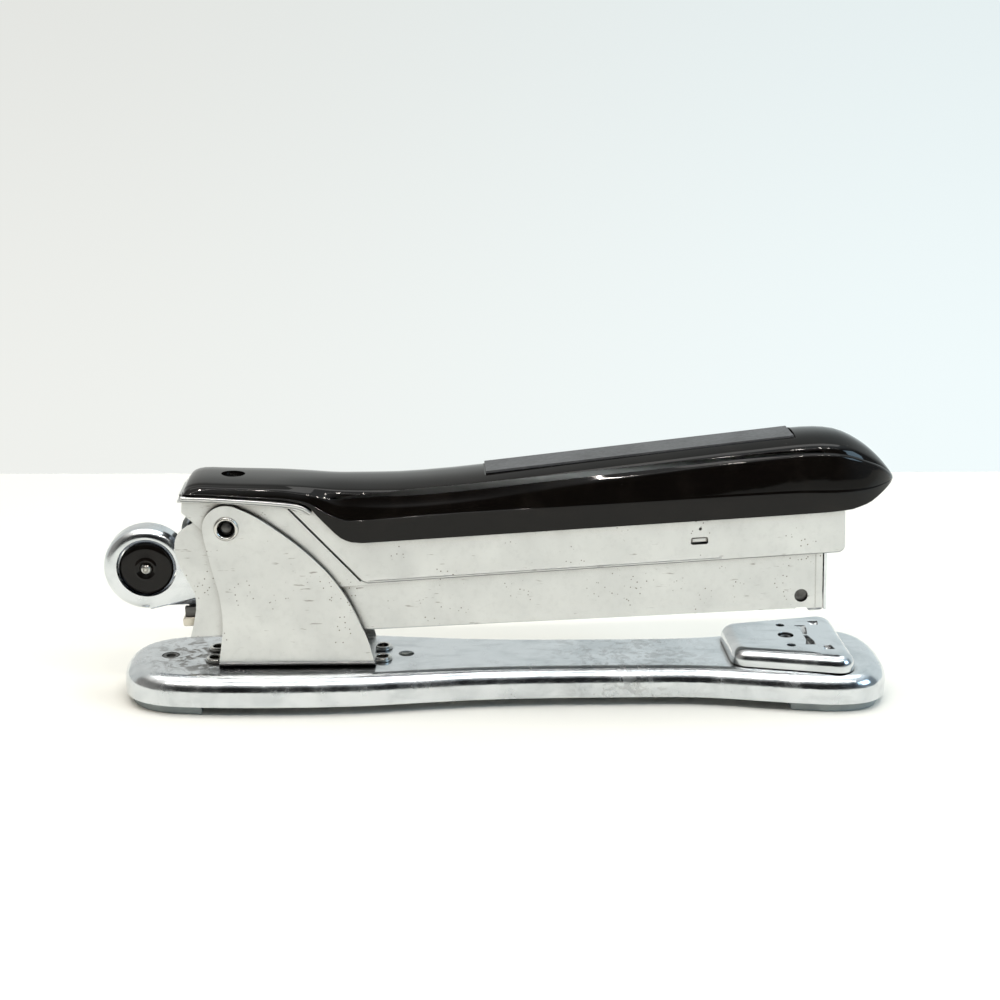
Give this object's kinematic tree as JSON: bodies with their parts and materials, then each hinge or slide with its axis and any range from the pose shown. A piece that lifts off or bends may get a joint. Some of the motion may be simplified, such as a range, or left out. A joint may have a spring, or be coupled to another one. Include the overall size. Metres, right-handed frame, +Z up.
{
  "type": "stapler",
  "caption": "Long desk stapler with a plated steel base, side bracket and magazine, a glossy black handle cover, a two-position anvil and a rear spring drum.",
  "frame": {"origin": "on the desk under the middle of the overall length, in the plane of symmetry, level with the undersides of the rubber feet", "axes": "+X towards the nose, +Y to the left seen from behind the drum, +Z up"},
  "size_m": [0.2027, 0.0384, 0.071],
  "materials": {
    "base_plating": "bright nickel-chrome plating with fine scratches",
    "satin_plating": "satin nickel plating, lightly pitted",
    "rivet_steel": "plated rivets and pins",
    "latch_steel": "plated latch, slightly yellowed",
    "dark_steel": "darkened steel",
    "spring_steel": "tempered blue-grey spring steel",
    "cap_plastic": "polished black moulding",
    "spool_plastic": "polished black moulding",
    "name_plate_grey": "matte dark grey",
    "foot_rubber": "grey-green moulded rubber"
  },
  "bodies": {
    "base": {"base_shell": "base_plating", "rear_foot": "foot_rubber", "front_foot": "foot_rubber", "rear_screw": "dark_steel", "bracket": "satin_plating", "bracket_rivet_1": "rivet_steel", "bracket_rivet_2": "rivet_steel", "bracket_rivet_3": "rivet_steel", "bracket_rivet_4": "rivet_steel", "pivot_rivet": "rivet_steel", "pivot_pin": "dark_steel", "return_spring": "spring_steel"},
    "anvil": {"anvil_plate": "base_plating", "anvil_stud": "dark_steel", "anvil_washer": "spring_steel"},
    "magazine": {"magazine": "satin_plating", "nose_plate": "base_plating", "magazine_cover": "satin_plating"},
    "handle": {"handle_arm": "satin_plating", "handle_channel": "base_plating", "handle_cap": "cap_plastic", "name_plate": "name_plate_grey", "cap_screw": "rivet_steel", "handle_spring": "spring_steel"},
    "blade": {"driver_blade": "spring_steel"},
    "loader": {"drum_housing": "base_plating", "core_rail": "satin_plating", "spool_axle": "rivet_steel", "drive_spring": "spring_steel", "latch_pin": "rivet_steel", "latch_spring": "spring_steel"},
    "spool": {"spool": "spool_plastic"},
    "pusher": {"pusher": "dark_steel"},
    "latch": {"latch": "latch_steel"}
  },
  "joints": [
    {"name": "magazine_hinge", "type": "hinge", "parent": "base", "child": "magazine", "pos_m": [-0.0688, 0, 0.0477], "axis": [0, 1, 0], "range_deg": [-100, 3.3], "stiffness_Nm_per_rad": 0.6, "springref_deg": -17.19, "deforming": ["return_spring"]},
    {"name": "handle_hinge", "type": "hinge", "parent": "magazine", "child": "handle", "pos_m": [-0.0688, 0, 0.0477], "axis": [0, 1, 0], "range_deg": [0, 3.2], "stiffness_Nm_per_rad": 8, "springref_deg": -3.44, "deforming": ["handle_spring"]},
    {"name": "blade_slide", "type": "slide", "parent": "magazine", "child": "blade", "axis": [0.0436, 0, -0.999], "range_m": [0, 0.0086]},
    {"name": "loader_slide", "type": "slide", "parent": "magazine", "child": "loader", "axis": [-0.999, 0, -0.0436], "range_m": [0, 0.105]},
    {"name": "pusher_slide", "type": "slide", "parent": "loader", "child": "pusher", "axis": [-0.999, 0, -0.0436], "range_m": [0, 0.105], "stiffness_N_per_m": 10, "springref_m": -0.25},
    {"name": "spool_spin", "type": "hinge", "parent": "loader", "child": "spool", "pos_m": [-0.09026, 0, 0.03495], "axis": [0, 1, 0], "range_deg": [0, 645]},
    {"name": "latch_hinge", "type": "hinge", "parent": "loader", "child": "latch", "pos_m": [-0.06517, 0, 0.02183], "axis": [0, 1, 0], "range_deg": [0, 3.5], "stiffness_Nm_per_rad": 0.05, "springref_deg": -5.73, "deforming": ["latch_spring"]},
    {"name": "anvil_slide", "type": "slide", "parent": "base", "child": "anvil", "axis": [-1, 0, 0], "range_m": [0, 0.004]}
  ],
  "couplings": [
    {"joint": "blade_slide", "follows": "handle_hinge", "m_per_rad": 0.1514},
    {"joint": "spool_spin", "follows": "pusher_slide", "rad_per_m": 106.4}
  ]
}
